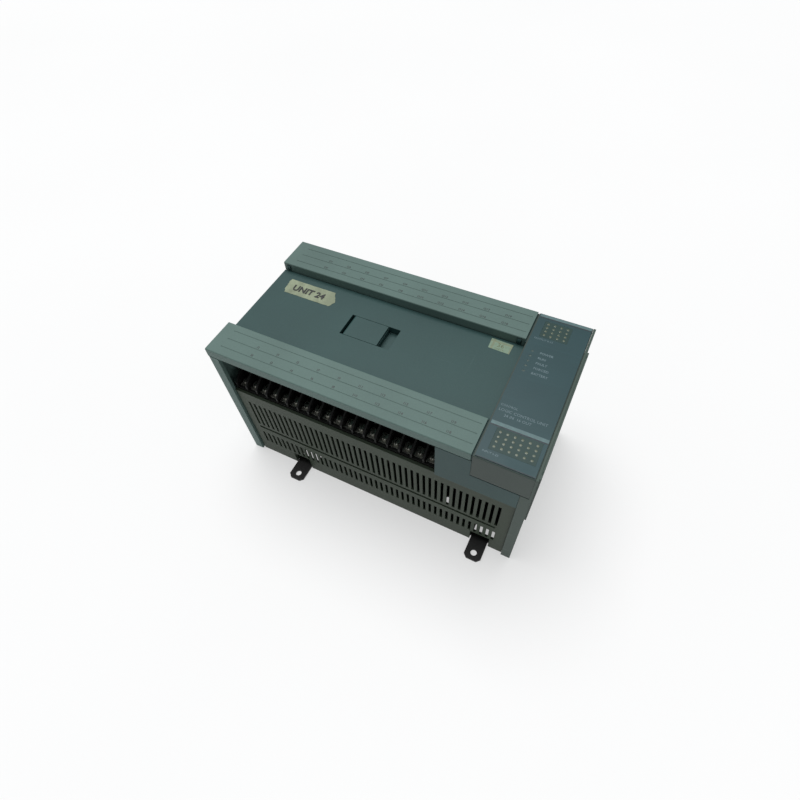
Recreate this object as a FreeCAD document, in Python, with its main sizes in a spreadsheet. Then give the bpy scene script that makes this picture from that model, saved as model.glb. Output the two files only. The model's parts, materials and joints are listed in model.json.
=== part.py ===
import FreeCAD, Part
import os
import Sketcher

# Compact programmable controller, lying on its mounting plate with its front face up.
# Frame: X along the case from its left end to its right end, Y from the near (input) side
# to the far (output) side, Z out of the front face.  The origin is the centre of the
# mounting plane.  All lengths are in millimetres.

Vector = FreeCAD.Vector
Rotation = FreeCAD.Rotation
doc = FreeCAD.newDocument("controller")

# ---------------------------------------------------------------- driving dimensions

DRIVING_SIZES = {
    # case
    "case_length": 265.0,
    "case_height": 140.0,
    "case_depth": 145.0,
    "skin": 2.5,
    "end_skin": 3.0,
    "fit_gap": 0.2,
    "column_width": 9.0,
    "panel_drop": 8.0,
    "shelf_drop": 8.7,
    "edge_radius": 0.8,
    # steel base plate and its mounting tabs
    "plate_gauge": 2.0,
    "tab_spacing": 178.0,
    "tab_row_spacing": 158.0,
    "tab_offset": 13.6,
    "tab_width": 15.0,
    "tab_reach": 15.5,
    "tab_chamfer": 3.0,
    "tab_hole": 5.5,
    "stud_radius": 1.5,
    # ventilated side walls
    "wall_inset": 1.9,
    "wall_start": 10.6,
    "wall_top": 95.2,
    "slot_pitch": 5.135,
    "slot_count": 45,
    "slot_width": 2.4,
    "slot_start": 18.3,
    "upper_slot_low": 48.5,
    "upper_slot_high": 83.0,
    "lower_slot_low": 18.4,
    "lower_slot_high": 35.2,
    "groove_low": 42.3,
    "groove_high": 45.6,
    "notch_height": 16.4,
    # terminal bays and covers
    "cover_width": 31.0,
    "cover_length": 218.8,
    "cover_skin": 1.5,
    "hinge_inset": 2.0,
    "hinge_drop": 4.5,
    "hinge_pin": 1.0,
    "hinge_play": 0.05,
    "bay_start": 9.6,
    "bay_end": 193.5,
    "terminal_pitch": 10.1,
    "terminal_count": 18,
    "block_bottom": 88.6,
    "low_row_level": 97.0,
    "high_row_level": 106.0,
    # indicator section at the right end
    "indicator_start": 220.0,
    "indicator_end": 261.9,
    "indicator_floor": 117.3,
    "side_step": 1.2,
    # programming port door in the front panel
    "door_left": 84.9,
    "door_length": 30.5,
    "door_width": 21.4,
    "door_centre": 3.6,
    "door_thickness": 2.0,
    # printed circuit boards
    "board_thickness": 1.6,
    "power_board_level": 14.0,
    "main_board_level": 86.0,
    "port_board_level": 106.0,
    "indicator_board_level": 133.0,
}

sheet = doc.addObject("Spreadsheet::Sheet", "Sizes")
for row, (alias, number) in enumerate(DRIVING_SIZES.items(), start=1):
    sheet.set(f"A{row}", alias)
    sheet.set(f"B{row}", str(number))
    sheet.setAlias(f"B{row}", alias)
doc.recompute()


class Size:
    """A length with its value and the sheet formula that drives it."""

    def __init__(self, value, formula):
        self.value = float(value)
        self.formula = formula

    def __add__(self, other):
        other = as_size(other)
        return Size(self.value + other.value, f"({self.formula} + {other.formula})")

    def __radd__(self, other):
        return as_size(other) + self

    def __sub__(self, other):
        other = as_size(other)
        return Size(self.value - other.value, f"({self.formula} - {other.formula})")

    def __rsub__(self, other):
        return as_size(other) - self

    def __mul__(self, factor):
        factor = as_size(factor)
        return Size(self.value * factor.value, f"({self.formula} * {factor.formula})")

    def __rmul__(self, factor):
        return self * factor

    def __truediv__(self, divisor):
        return Size(self.value / divisor, f"({self.formula} / {divisor})")

    def __neg__(self):
        return Size(-self.value, f"(0 - {self.formula})")


def as_size(number):
    if isinstance(number, Size):
        return number
    return Size(number, f"({float(number)!r})")


def sheet_size(alias):
    return Size(float(sheet.get(alias)), f"Sizes.{alias}")


class Sizes:
    """Every driving dimension of the sheet, by name."""


for name in DRIVING_SIZES:
    setattr(Sizes, name, sheet_size(name))

left_end = -Sizes.case_length / 2
near_side = -Sizes.case_height / 2
panel_level = Sizes.case_depth - Sizes.panel_drop
shelf_level = Sizes.case_depth - Sizes.shelf_drop
hinge_y = near_side + Sizes.cover_width - Sizes.hinge_inset
hinge_z = Sizes.case_depth - Sizes.hinge_drop

# ---------------------------------------------------------------- modelling helpers

pieces = {}


def bind(obj, prop, size):
    obj.setExpression(prop, as_size(size).formula)


def place(obj, x, y, z, rotation=None):
    sizes = [as_size(x), as_size(y), as_size(z)]
    obj.Placement = FreeCAD.Placement(Vector(*[size.value for size in sizes]), rotation or Rotation())
    for axis, size in zip("xyz", sizes):
        bind(obj, f".Placement.Base.{axis}", size)


def keep(label, obj):
    """Registers an object as one node of the assembly."""
    obj.Label = label
    pieces[label] = obj
    return obj


class Piece:
    """A moulded, stamped or turned piece: a body whose features are drawn on its origin planes."""

    # sketch plane, sign of its offset, and whether a pad is reversed, for each growth direction
    PLANES = {"X": ("YZ_Plane", 1, False), "Y": ("XZ_Plane", -1, True), "Z": ("XY_Plane", 1, False)}

    def __init__(self, label, x=0, y=0, z=0, exported=True):
        self.body = doc.addObject("PartDesign::Body", label)
        self.count = 0
        place(self.body, x, y, z)
        if exported:
            keep(label, self.body)

    def origin(self, role):
        return [item for item in self.body.Origin.OriginFeatures if item.Role == role][0]

    def sketch(self, along, start, across=0, up=0):
        """A sketch whose plane faces one axis, start away from the body's origin."""
        role, sign, _ = self.PLANES[along]
        self.count += 1
        drawing = self.body.newObject("Sketcher::SketchObject", f"Sketch{self.count:02d}")
        drawing.AttachmentSupport = [(self.origin(role), "")]
        drawing.MapMode = "FlatFace"
        offset = as_size(start) if sign > 0 else -as_size(start)
        shift = [as_size(across), as_size(up), offset]
        drawing.AttachmentOffset = FreeCAD.Placement(Vector(*[size.value for size in shift]), Rotation())
        for axis, size in zip("xyz", shift):
            bind(drawing, f".AttachmentOffset.Base.{axis}", size)
        return drawing

    def dimension(self, drawing, kind, *where, size):
        index = drawing.addConstraint(Sketcher.Constraint(kind, *where, size.value))
        bind(drawing, f"Constraints[{index}]", size)

    def outline(self, drawing, points):
        corners = [(as_size(u), as_size(v)) for u, v in points]
        for (u, v), (next_u, next_v) in zip(corners, corners[1:] + corners[:1]):
            line = Part.LineSegment(Vector(u.value, v.value, 0), Vector(next_u.value, next_v.value, 0))
            drawing.addGeometry(line, False)
        for index in range(len(corners)):
            following = (index + 1) % len(corners)
            drawing.addConstraint(Sketcher.Constraint("Coincident", index, 2, following, 1))
        for index, (u, v) in enumerate(corners):
            self.dimension(drawing, "DistanceX", index, 1, size=u)
            self.dimension(drawing, "DistanceY", index, 1, size=v)

    def grow(self, drawing, along, length, cut):
        kind = "PartDesign::Pocket" if cut else "PartDesign::Pad"
        feature = self.body.newObject(kind, f"{'Cut' if cut else 'Pad'}{self.count:02d}")
        feature.Profile = drawing
        feature.Length = as_size(length).value
        bind(feature, "Length", length)
        feature.Reversed = self.PLANES[along][2] != cut
        drawing.Visibility = False
        return feature

    def prism(self, along, start, length, points, cut=False):
        drawing = self.sketch(along, start)
        self.outline(drawing, points)
        return self.grow(drawing, along, length, cut)

    def block(self, x, y, z, cut=False):
        """A rectangular block between two planes on each axis, each given as (low, high)."""
        low = [as_size(pair[0]) for pair in (x, y, z)]
        high = [as_size(pair[1]) for pair in (x, y, z)]
        corners = [(low[0], low[1]), (high[0], low[1]), (high[0], high[1]), (low[0], high[1])]
        return self.prism("Z", low[2], high[2] - low[2], corners, cut)

    def rod(self, along, centre, start, length, radius, cut=False):
        """A round boss or hole along one axis; centre holds the other two coordinates, in order."""
        drawing = self.sketch(along, start)
        u, v = [as_size(number) for number in centre]
        radius = as_size(radius)
        drawing.addGeometry(Part.Circle(Vector(u.value, v.value, 0), Vector(0, 0, 1), radius.value), False)
        self.dimension(drawing, "DistanceX", 0, 3, size=u)
        self.dimension(drawing, "DistanceY", 0, 3, size=v)
        self.dimension(drawing, "Radius", 0, size=radius)
        return self.grow(drawing, along, length, cut)

    def turn(self, x, y, z, points):
        """A turned piece on an upright axis, from its half outline of (radius, height) points."""
        drawing = self.sketch("Y", y, across=x, up=z)
        self.outline(drawing, points)
        feature = self.body.newObject("PartDesign::Revolution", f"Turn{self.count:02d}")
        feature.Profile = drawing
        feature.ReferenceAxis = (drawing, ["V_Axis"])
        feature.Angle = 360
        drawing.Visibility = False
        return feature

    def repeat(self, features, along, pitch, count, second=None):
        """Copies features in a row, or in a grid when a second (axis, pitch, count) is given."""
        self.count += 1
        pattern = self.body.newObject("PartDesign::LinearPattern", f"Row{self.count:02d}")
        pattern.Originals = features
        pattern.Direction = (self.origin(f"{along}_Axis"), [""])
        bind(pattern, "Length", pitch * (as_size(count) - 1))
        bind(pattern, "Occurrences", count)
        if second:
            axis, second_pitch, second_count = second
            pattern.Direction2 = (self.origin(f"{axis}_Axis"), [""])
            bind(pattern, "Length2", second_pitch * (as_size(second_count) - 1))
            bind(pattern, "Occurrences2", second_count)
        self.body.Tip = pattern
        return pattern

    def mirror(self, features, plane="XZ_Plane"):
        self.count += 1
        pattern = self.body.newObject("PartDesign::Mirrored", f"Mirror{self.count:02d}")
        pattern.Originals = features
        pattern.MirrorPlane = (self.origin(plane), [""])
        self.body.Tip = pattern
        return pattern

    def round_edges(self, radius, chosen, kind="Fillet"):
        """Rounds or chamfers the edges for which chosen(edge) is true."""
        doc.recompute()
        base = self.body.Tip
        names = [f"Edge{n}" for n, edge in enumerate(base.Shape.Edges, start=1) if chosen(edge)]
        self.count += 1
        feature = self.body.newObject(f"PartDesign::{kind}", f"{kind}{self.count:02d}")
        feature.Base = (base, names)
        bind(feature, "Radius" if kind == "Fillet" else "Size", radius)
        return feature


def mirrored(label, source):
    """The far-side twin of a near-side piece."""
    twin = doc.addObject("Part::Mirroring", label)
    twin.Source = source
    twin.Base = Vector(0, 0, 0)
    twin.Normal = Vector(0, 1, 0)
    return keep(label, twin)


def box(name, low, size, label=None):
    """A plain rectangular component, by its lowest corner and its size."""
    obj = doc.addObject("Part::Box", name)
    for prop, length in zip(("Length", "Width", "Height"), size):
        bind(obj, prop, length)
    place(obj, *low)
    return keep(label, obj) if label else obj


def cylinder(name, foot, radius, height, rotation=None):
    obj = doc.addObject("Part::Cylinder", name)
    bind(obj, "Radius", radius)
    bind(obj, "Height", height)
    place(obj, *foot, rotation=rotation)
    return obj


def group(label, members):
    """Separate identical solids kept in one node."""
    compound = doc.addObject("Part::Compound", label)
    compound.Links = members
    return keep(label, compound)


def drilled(label, base, tools):
    """A component with holes or hollows cut out of it."""
    cut = doc.addObject("Part::Cut", label)
    cut.Base = base
    cut.Tool = tools[0] if len(tools) == 1 else group_only(f"{label}_tools", tools)
    return keep(label, cut)


def group_only(name, members):
    compound = doc.addObject("Part::Compound", name)
    compound.Links = members
    return compound


def along_edge(edge, axis, length_over=5.0):
    """True for a straight edge that runs along one axis and is longer than length_over."""
    if edge.Curve.TypeId != "Part::GeomLine" or edge.Length < length_over:
        return False
    direction = edge.tangentAt(edge.FirstParameter)
    return abs(abs(getattr(direction, axis)) - 1) < 1e-6


def near_value(number, target):
    return abs(number - target) < 0.01


TO_X = Rotation(Vector(0, 1, 0), 90)
TO_Y = Rotation(Vector(1, 0, 0), -90)

# ---------------------------------------------------------------- steel base

tab_columns = [Sizes.tab_offset - Sizes.tab_spacing / 2, Sizes.tab_offset + Sizes.tab_spacing / 2]
plate_margin_x = Sizes.end_skin + Sizes.fit_gap
plate_edge_y = near_side + Sizes.wall_inset + Sizes.skin + Sizes.fit_gap
# studs that hold the feet of the side walls and end walls: (from the case's left end, from its middle)
side_stud_columns = [30.0, 100.0, 175.0, 252.0]
side_stud_y = near_side + 8.4
end_stud_rows = [-32.0, 32.0]
window_front = 8.4
window_back = 18.4
window_overlap = 3.4


def stud_places():
    for column in side_stud_columns:
        for sign in (1, -1):
            yield left_end + column, side_stud_y * sign
    for row in end_stud_rows:
        yield left_end + 9.0, as_size(row)


def make_base_plate():
    plate = Piece("base_plate")
    right = left_end + Sizes.indicator_end
    plate.block((left_end + plate_margin_x, right), (plate_edge_y, -plate_edge_y), (0, Sizes.plate_gauge))
    # each strap crosses the plate and ends in a tab on both sides
    half = Sizes.tab_width / 2
    end = near_side - Sizes.tab_reach
    corner = Sizes.tab_chamfer
    first = tab_columns[0]
    outline = [
        (first - half, end + corner), (first - half + corner, end),
        (first + half - corner, end), (first + half, end + corner),
        (first + half, -end - corner), (first + half - corner, -end),
        (first - half + corner, -end), (first - half, -end - corner),
    ]
    strap = plate.prism("Z", 0, Sizes.plate_gauge, outline)
    plate.repeat([strap], "X", Sizes.tab_spacing, 2)
    hole = plate.rod("Z", (first, -Sizes.tab_row_spacing / 2), 0, Sizes.plate_gauge, Sizes.tab_hole / 2,
                     cut=True)
    plate.repeat([hole], "X", Sizes.tab_spacing, 2, second=("Y", Sizes.tab_row_spacing, 2))
    # a window behind each tab
    window = plate.block((first - half, first + half + window_overlap),
                         (near_side + window_front, near_side + window_back), (0, Sizes.plate_gauge),
                         cut=True)
    far_row = Sizes.case_height - window_front - window_back
    plate.repeat([window], "X", Sizes.tab_spacing, 2, second=("Y", far_row, 2))
    # harness hole near the right end, with its twin on the far side
    harness = plate.rod("Z", (left_end + 196.0, near_side + 26.2), 0, Sizes.plate_gauge, 3.2, cut=True)
    plate.mirror([harness])
    for x, y in stud_places():
        plate.rod("Z", (x, y), 0, Sizes.plate_gauge, Sizes.stud_radius, cut=True)


def make_studs_and_nuts():
    nut_level = Sizes.plate_gauge + Sizes.skin + 0.1
    studs = []
    nuts = []
    for number, (x, y) in enumerate(stud_places()):
        studs.append(cylinder(f"stud_{number}", (x, y, 0), Sizes.stud_radius, nut_level + 3.5))
        blank = doc.addObject("Part::Prism", f"nut_blank_{number}")
        blank.Polygon = 6
        blank.Circumradius = 3.1
        blank.Height = 2.4
        place(blank, x, y, nut_level)
        bore = cylinder(f"nut_bore_{number}", (x, y, nut_level - 1), Sizes.stud_radius + 0.02, 5)
        nut = doc.addObject("Part::Cut", f"nut_{number}")
        nut.Base = blank
        nut.Tool = bore
        nuts.append(nut)
    group("base_studs", studs)
    group("base_nuts", nuts)


# ---------------------------------------------------------------- case walls

foot_low = Sizes.plate_gauge + 0.1
foot_high = foot_low + Sizes.skin
foot_reach = 12.0
bezel_seam = 0.8
wall_lap = 8.6
louvre_skin = 1.2


def make_vent_wall():
    """The louvred side wall of the input side; the output side has its mirror image."""
    wall = Piece("near_vent_wall", left_end, 0, 0)
    outer = near_side + Sizes.wall_inset
    inner = outer + Sizes.skin
    start = Sizes.wall_start
    end = Sizes.case_length - Sizes.column_width - Sizes.fit_gap
    wall.block((start, end), (outer, inner), (0, Sizes.wall_top))
    # shoulder beside the left column, and the lap behind the skirt of the front housing
    wall.block((Sizes.column_width + Sizes.fit_gap, start), (outer, inner),
               (Sizes.wall_top - 1.7, Sizes.wall_top))
    wall.block((Sizes.bay_end + 2.2, end), (outer, inner), (Sizes.wall_top, Sizes.wall_top + wall_lap))
    # foot on the base plate and ledge under the terminal block
    wall.block((start, end), (inner, near_side + foot_reach), (foot_low, foot_high))
    wall.block((Sizes.bay_start + 4, Sizes.bay_end - 1), (inner, near_side + 7.8),
               (Sizes.block_bottom - 2.5, Sizes.block_bottom - 0.1))
    # notches that the mounting tabs come out of, and gaps in the foot over the base plate's windows
    for column in tab_columns:
        middle = column - left_end
        half = Sizes.tab_width / 2 + 1
        wall.block((middle - half, middle + half), (outer, near_side + foot_reach),
                   (0, Sizes.notch_height), cut=True)
        wall.block((middle + half - 1, middle + half + window_overlap), (inner, near_side + foot_reach),
                   (foot_low, foot_high), cut=True)
    for column in side_stud_columns:
        wall.rod("Z", (column, side_stud_y), foot_low, Sizes.skin, Sizes.stud_radius + 0.1, cut=True)
    # two rows of louvres and the long shadow groove between them
    slot_end = Sizes.slot_start + Sizes.slot_width
    rows = ((Sizes.upper_slot_low, Sizes.upper_slot_high), (Sizes.lower_slot_low, Sizes.lower_slot_high))
    panel_end = slot_end + Sizes.slot_pitch * (Sizes.slot_count - 1) + 1
    for low, high in rows:
        wall.block((Sizes.slot_start - 1, panel_end), (outer + louvre_skin, inner), (low - 1, high + 1),
                   cut=True)
        slot = wall.block((Sizes.slot_start, slot_end), (outer, inner), (low, high), cut=True)
        wall.repeat([slot], "X", Sizes.slot_pitch, Sizes.slot_count)
    wall.block((Sizes.slot_start, 245.5), (outer, outer + 1), (Sizes.groove_low, Sizes.groove_high), cut=True)
    mirrored("far_vent_wall", wall.body)


def make_left_end_wall():
    wall = Piece("left_end_wall", left_end, 0, 0)
    skin = Sizes.end_skin
    panel_under = panel_level - Sizes.skin - 0.1
    wall.block((0, skin), (near_side, -near_side), (0, panel_under))
    ledge = wall.block((0, skin), (near_side, near_side + Sizes.cover_width), (panel_under, shelf_level))
    column = wall.block((skin, Sizes.column_width), (near_side, near_side + skin), (0, shelf_level))
    wall.mirror([ledge, column])
    wall.block((skin, 13.0), (-45.0, 45.0), (foot_low, foot_high))
    for row in end_stud_rows:
        wall.rod("Z", (9.0, row), foot_low, Sizes.skin, Sizes.stud_radius + 0.1, cut=True)
    # stiffening ribs inside
    rib = wall.block((skin, skin + 2), (-46.0, -44.5), (foot_high, 80.0))
    wall.mirror([rib])
    wall.round_edges(1.2, lambda edge: along_edge(edge, "z") and near_value(abs(edge.CenterOfMass.y), 70.0)
                     and near_value(edge.CenterOfMass.x, 0.0))


def make_right_end_wall():
    wall = Piece("right_end_wall", left_end, 0, 0)
    skin = Sizes.end_skin
    inner = Sizes.indicator_end + 0.1
    outer = Sizes.case_length - Sizes.side_step
    top = Sizes.case_depth - 0.8
    wall.block((inner, outer), (near_side, -near_side), (0, top))
    column = wall.block((Sizes.case_length - Sizes.column_width, inner), (near_side, near_side + skin),
                        (0, Sizes.indicator_floor - bezel_seam))
    wall.mirror([column])
    # opening of the expansion socket
    wall.block((inner, outer), (-26.0, 26.0), (88.0, 106.0), cut=True)
    # lipped rails of the sliding cover and the stop under it
    for rail, lip in (((2.0, 5.9), (5.9, 7.9)), ((112.1, 115.0), (110.1, 112.1))):
        wall.block((outer, Sizes.case_length), (near_side + rail[0], near_side + rail[1]), (80.0, top))
        wall.block((outer + 0.7, Sizes.case_length), (near_side + lip[0], near_side + lip[1]), (84.0, top))
    wall.block((outer, Sizes.case_length), (near_side + 5.9, near_side + 112.1), (80.0, 83.9))


# ---------------------------------------------------------------- front housing

lug_offset = 3.2
lug_width = 3.0
lug_radius = 2.9
well_left = 82.4
well_right = 126.0
well_half = Sizes.door_width / 2 + 0.3
door_stop_x = Sizes.door_left + Sizes.door_length + 0.4
housing_skirt = 96.2
skirt_ledge = 1.2
skirt_clearance = 0.7
seam_web = 0.6
seam_web_top = 143.4


def hinge_lug(housing, x):
    """A pivot lug with its arm, on the near side."""
    arm = housing.block((x, x + lug_width), (hinge_y - lug_radius, hinge_y + 2), (shelf_level - 0.1, hinge_z))
    foot = housing.block((x, x + lug_width), (hinge_y - lug_radius, hinge_y + Sizes.hinge_inset + 2),
                         (shelf_level - 5, shelf_level))
    eye = housing.rod("X", (hinge_y, hinge_z), x, lug_width, lug_radius)
    return [arm, foot, eye]


def make_front_housing():
    housing = Piece("front_housing", left_end, 0, 0)
    skin = Sizes.skin
    end = Sizes.indicator_start - Sizes.fit_gap
    wall_y = near_side + Sizes.cover_width + 0.3
    floor = Sizes.indicator_floor - 0.1
    panel_under = panel_level - skin
    housing.block((0, end), (wall_y, -wall_y), (panel_under, panel_level))
    mirrored_features = [
        # inner wall of the terminal bay, with a ledge that closes the gap under the cover's skirt
        housing.block((Sizes.end_skin + 0.2, end), (wall_y, wall_y + skin), (Sizes.wall_top, panel_under)),
        housing.block((Sizes.end_skin + 0.2, end), (wall_y - skirt_ledge, wall_y + 1),
                      (panel_under, panel_level - skirt_clearance)),
        # thin web that closes the seam between the cover and the indicator section
        housing.block((end - seam_web, end), (near_side + 0.6, wall_y + 1), (panel_under - 1, seam_web_top)),
        # plain block to the right of the bay: shelf, side towards the bay and outer skin
        housing.block((Sizes.bay_end, end), (near_side, wall_y), (shelf_level - 2.3, shelf_level)),
        housing.block((Sizes.bay_end, Sizes.bay_end + 2), (near_side, wall_y),
                      (housing_skirt, shelf_level - 1)),
        housing.block((Sizes.bay_end, end), (near_side, near_side + Sizes.wall_inset),
                      (housing_skirt, shelf_level - 1)),
        housing.block((end - 1, Sizes.case_length - Sizes.column_width - Sizes.fit_gap),
                      (near_side, near_side + Sizes.wall_inset), (housing_skirt, floor - bezel_seam)),
    ]
    # floor under the indicator section, with its cable window, and the divider beside it
    housing.block((end - skin, Sizes.indicator_end),
                  (near_side + Sizes.end_skin + 0.2, -near_side - Sizes.end_skin - 0.2),
                  (floor - 2.3, floor))
    lip = housing.block((end - skin, Sizes.case_length - Sizes.column_width - Sizes.fit_gap),
                        (near_side + 1, near_side + Sizes.end_skin + 1), (floor - 2.3, floor))
    mirrored_features.append(lip)
    housing.block((end - skin, end), (near_side + 1, -near_side - 1), (floor - 1, panel_under + 0.5))
    for start in (lug_offset, Sizes.cover_length - lug_offset - lug_width):
        mirrored_features += hinge_lug(housing, as_size(start) + 0.2)
    housing.mirror(mirrored_features)
    housing.block((226.0, 256.0), (-58.0, 58.0), (floor - 3, floor), cut=True)
    # well of the programming port: open under the door, with a floor in the finger recess
    low = Sizes.door_centre - well_half
    high = Sizes.door_centre + well_half
    housing.block((well_left - 2, well_right + 2), (low - 2, high + 2), (112.0, panel_under))
    housing.block((well_left, door_stop_x - 2), (low, high), (110.0, panel_level), cut=True)
    housing.block((door_stop_x - 2.5, door_stop_x), (low, high),
                  (panel_level - Sizes.door_thickness - 0.1, panel_level),
                  cut=True)
    housing.block((door_stop_x, well_right), (low, high), (130.5, panel_level), cut=True)
    housing.block((door_stop_x, well_right), (low, high), (110.0, 128.5), cut=True)
    # bores of the hinge pins
    bores = [housing.rod("X", (hinge_y, hinge_z), as_size(start) - 1, lug_width + 2.4, Sizes.hinge_pin,
                         cut=True)
             for start in (lug_offset, Sizes.cover_length - lug_offset - lug_width)]
    housing.mirror(bores)
    housing.rod("Y", (Sizes.door_left + 1.2, panel_level - 1.8), low - 1.6, 2 * well_half + 3.2, 0.8,
                cut=True)


# ---------------------------------------------------------------- terminal covers

cover_edge = 1.0
cover_skirt = 2.0
rib_first = 40.0
rib_pitch = 34.0
rib_width = 1.2
line_first = 7.2
line_pitch = 8.5
line_width = 0.6
line_depth = 0.2


def make_cover(label):
    """A terminal cover, drawn on the near side."""
    cover = Piece(label, left_end + 0.2, 0, 0)
    length = Sizes.cover_length
    top = Sizes.case_depth
    skirt = cover_skirt
    outer = near_side
    inner = near_side + Sizes.cover_width
    cover.block((0, length), (outer, inner), (panel_level, top))
    cover.block((2.2, length - 2.2), (outer + skirt, inner - skirt), (panel_level, top - Sizes.cover_skin),
                cut=True)
    # knuckle plates inside, next to the lugs of the housing
    knuckle_low = hinge_z - 2.4
    for x in (as_size(lug_offset + lug_width + 0.6), length - lug_offset - lug_width - 2.8):
        cover.block((x, x + 2.2), (hinge_y - 2.4, inner - 1), (knuckle_low, top - 1))
    for x in (as_size(lug_offset), length - lug_offset - lug_width):
        cover.block((x - 0.4, x + lug_width + 0.4), (inner - skirt - 0.5, inner),
                    (panel_level, top - Sizes.cover_skin),
                    cut=True)
    pin_span = lug_offset + lug_width + 0.6 + 2.2
    for x in (as_size(0), length - pin_span):
        cover.rod("X", (hinge_y, hinge_z), x, pin_span, Sizes.hinge_pin + Sizes.hinge_play, cut=True)
    # stiffening ribs across the inside
    rib = cover.block((rib_first, rib_first + rib_width), (outer + 1, inner - skirt - 3),
                      (top - 4.0, top - 1))
    cover.repeat([rib], "X", as_size(rib_pitch), 5)
    # shallow lines that divide the marking rows
    line = cover.block((10.0, length - 2.3), (outer + line_first, outer + line_first + line_width),
                       (top - line_depth, top), cut=True)
    cover.repeat([line], "Y", as_size(line_pitch), 3)
    cover.round_edges(cover_edge,
                      lambda edge: (along_edge(edge, "x", 100) and near_value(edge.CenterOfMass.z, top.value)
                                         and (near_value(edge.CenterOfMass.y, outer.value)
                                              or near_value(edge.CenterOfMass.y, inner.value))))
    return cover


def hinge_pins(label):
    pins = Piece(label, left_end + 0.2, 0, 0)
    span = 8.6
    for x in (as_size(0.2), Sizes.cover_length - span - 0.2):
        pins.rod("X", (hinge_y, hinge_z), x, span, Sizes.hinge_pin)
    return pins


def make_terminal_covers():
    make_cover("lower_terminal_cover")
    source = make_cover("upper_cover_pattern")
    del pieces["upper_cover_pattern"]
    mirrored("upper_terminal_cover", source.body)
    pins = hinge_pins("lower_hinge_pins")
    mirrored("upper_hinge_pins", pins.body)


def make_port_door():
    door = Piece("port_door", left_end, Sizes.door_centre, 0)
    half = Sizes.door_width / 2
    low = panel_level - Sizes.door_thickness
    axis = (Sizes.door_left + 1.2, panel_level - 1.8)
    door.block((Sizes.door_left + 1, Sizes.door_left + Sizes.door_length), (-half, half), (low, panel_level))
    door.rod("Y", axis, -half, Sizes.door_width, 1.7)
    # stiffening rib on the underside
    door.block((Sizes.door_left + 8, Sizes.door_left + 9.5), (-half + 2, half - 2), (low - 1.5, low))
    door.rod("Y", axis, -half, Sizes.door_width, 0.85, cut=True)
    pin = Piece("port_door_pin", left_end, Sizes.door_centre, 0)
    pin.rod("Y", axis, -well_half - 1.5, 2 * well_half + 3, 0.8)


# ---------------------------------------------------------------- indicator section

window_places = {
    # x from the case's left end, y from its middle: low and high
    "output_led_window": ((227.0, 248.0), (45.8, 62.6)),
    "input_led_window": ((227.0, 258.6), (-61.0, -43.0)),
}
status_rows = 5
status_pitch = 5.05
status_first = 9.7
status_x = 227.0
led_first = 230.0
label_thickness = 0.8


def make_indicator_bezel():
    bezel = Piece("indicator_bezel", left_end, 0, 0)
    skin = 2.2
    top = Sizes.case_depth - 1
    start = Sizes.indicator_start
    bezel.block((start, Sizes.indicator_end), (near_side, -near_side), (Sizes.indicator_floor, top))
    bezel.block((start + skin, Sizes.indicator_end - skin), (near_side + skin, -near_side - skin),
                (Sizes.indicator_floor, top - skin), cut=True)
    for (x_low, x_high), (y_low, y_high) in window_places.values():
        bezel.block((x_low + 1, x_high - 1), (y_low + 1, y_high - 1), (top - skin - 1, top), cut=True)
    status = bezel.rod("Z", (status_x, status_first), top - skin - 1, skin + 1, 1.0, cut=True)
    bezel.repeat([status], "Y", as_size(status_pitch), status_rows)
    bezel.round_edges(Sizes.edge_radius,
                      lambda edge: along_edge(edge, "x", 20) and near_value(edge.CenterOfMass.z, top.value)
                      and near_value(abs(edge.CenterOfMass.y), 70.0))
    label = Piece("indicator_label", left_end, 0, 0)
    label.block((start + 1, Sizes.indicator_end - 0.6), (near_side + 0.9, -near_side - 0.9),
                (top, top + label_thickness))
    for (x_low, x_high), (y_low, y_high) in window_places.values():
        label.block((x_low - 0.05, x_high + 0.05), (y_low - 0.05, y_high + 0.05),
                    (top, top + label_thickness),
                    cut=True)
    hole = label.rod("Z", (status_x, status_first), top, label_thickness, 1.0, cut=True)
    label.repeat([hole], "Y", as_size(status_pitch), status_rows)
    for name, ((x_low, x_high), (y_low, y_high)) in window_places.items():
        window = Piece(name, left_end, 0, 0)
        window.block((x_low, x_high), (y_low, y_high), (top, top + label_thickness))
        window.block((x_low + 1.1, x_high - 1.1), (y_low + 1.1, y_high - 1.1), (top - 2, top + 0.1))


def make_indicator_board():
    level = Sizes.indicator_board_level
    surface = level + Sizes.board_thickness
    box("indicator_board", (left_end + 224.0, -64.0, level), (34.0, 128.0, Sizes.board_thickness),
        "indicator_board")
    under_top = Sizes.case_depth - 1 - 2.2
    spacers = [cylinder(f"indicator_spacer_{n}", (left_end + x, y, surface), 2.2, under_top - surface)
               for n, (x, y) in enumerate(((227.5, -36.0), (255.0, -36.0), (227.5, 36.5), (255.0, 36.5)))]
    group("indicator_spacers", spacers)
    leds = Piece("indicator_leds", left_end, 0, 0)
    dome = [(0, 0), (1.5, 0), (1.5, 5.2), (1.2, 6.1), (0.6, 6.6), (0, 6.7)]
    outputs = leds.turn(led_first, 48.3, surface, dome)
    leds.repeat([outputs], "X", as_size(5.0), 4, second=("Y", as_size(3.9), 4))
    inputs = leds.turn(led_first, -58.0, surface, dome)
    leds.repeat([inputs], "X", as_size(5.1), 6, second=("Y", as_size(4.0), 4))
    guide = leds.rod("Z", (status_x, status_first), surface, Sizes.case_depth - 0.3 - surface, 0.95)
    leds.repeat([guide], "Y", as_size(status_pitch), status_rows)


# ---------------------------------------------------------------- terminal blocks

row_insets = (11.5, 24.5)
row_levels = (Sizes.low_row_level, Sizes.high_row_level)
block_front = 4.7
block_back = 31.0
block_relief = 27.0
block_step = 18.0
screw_depth = 8.0


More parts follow.
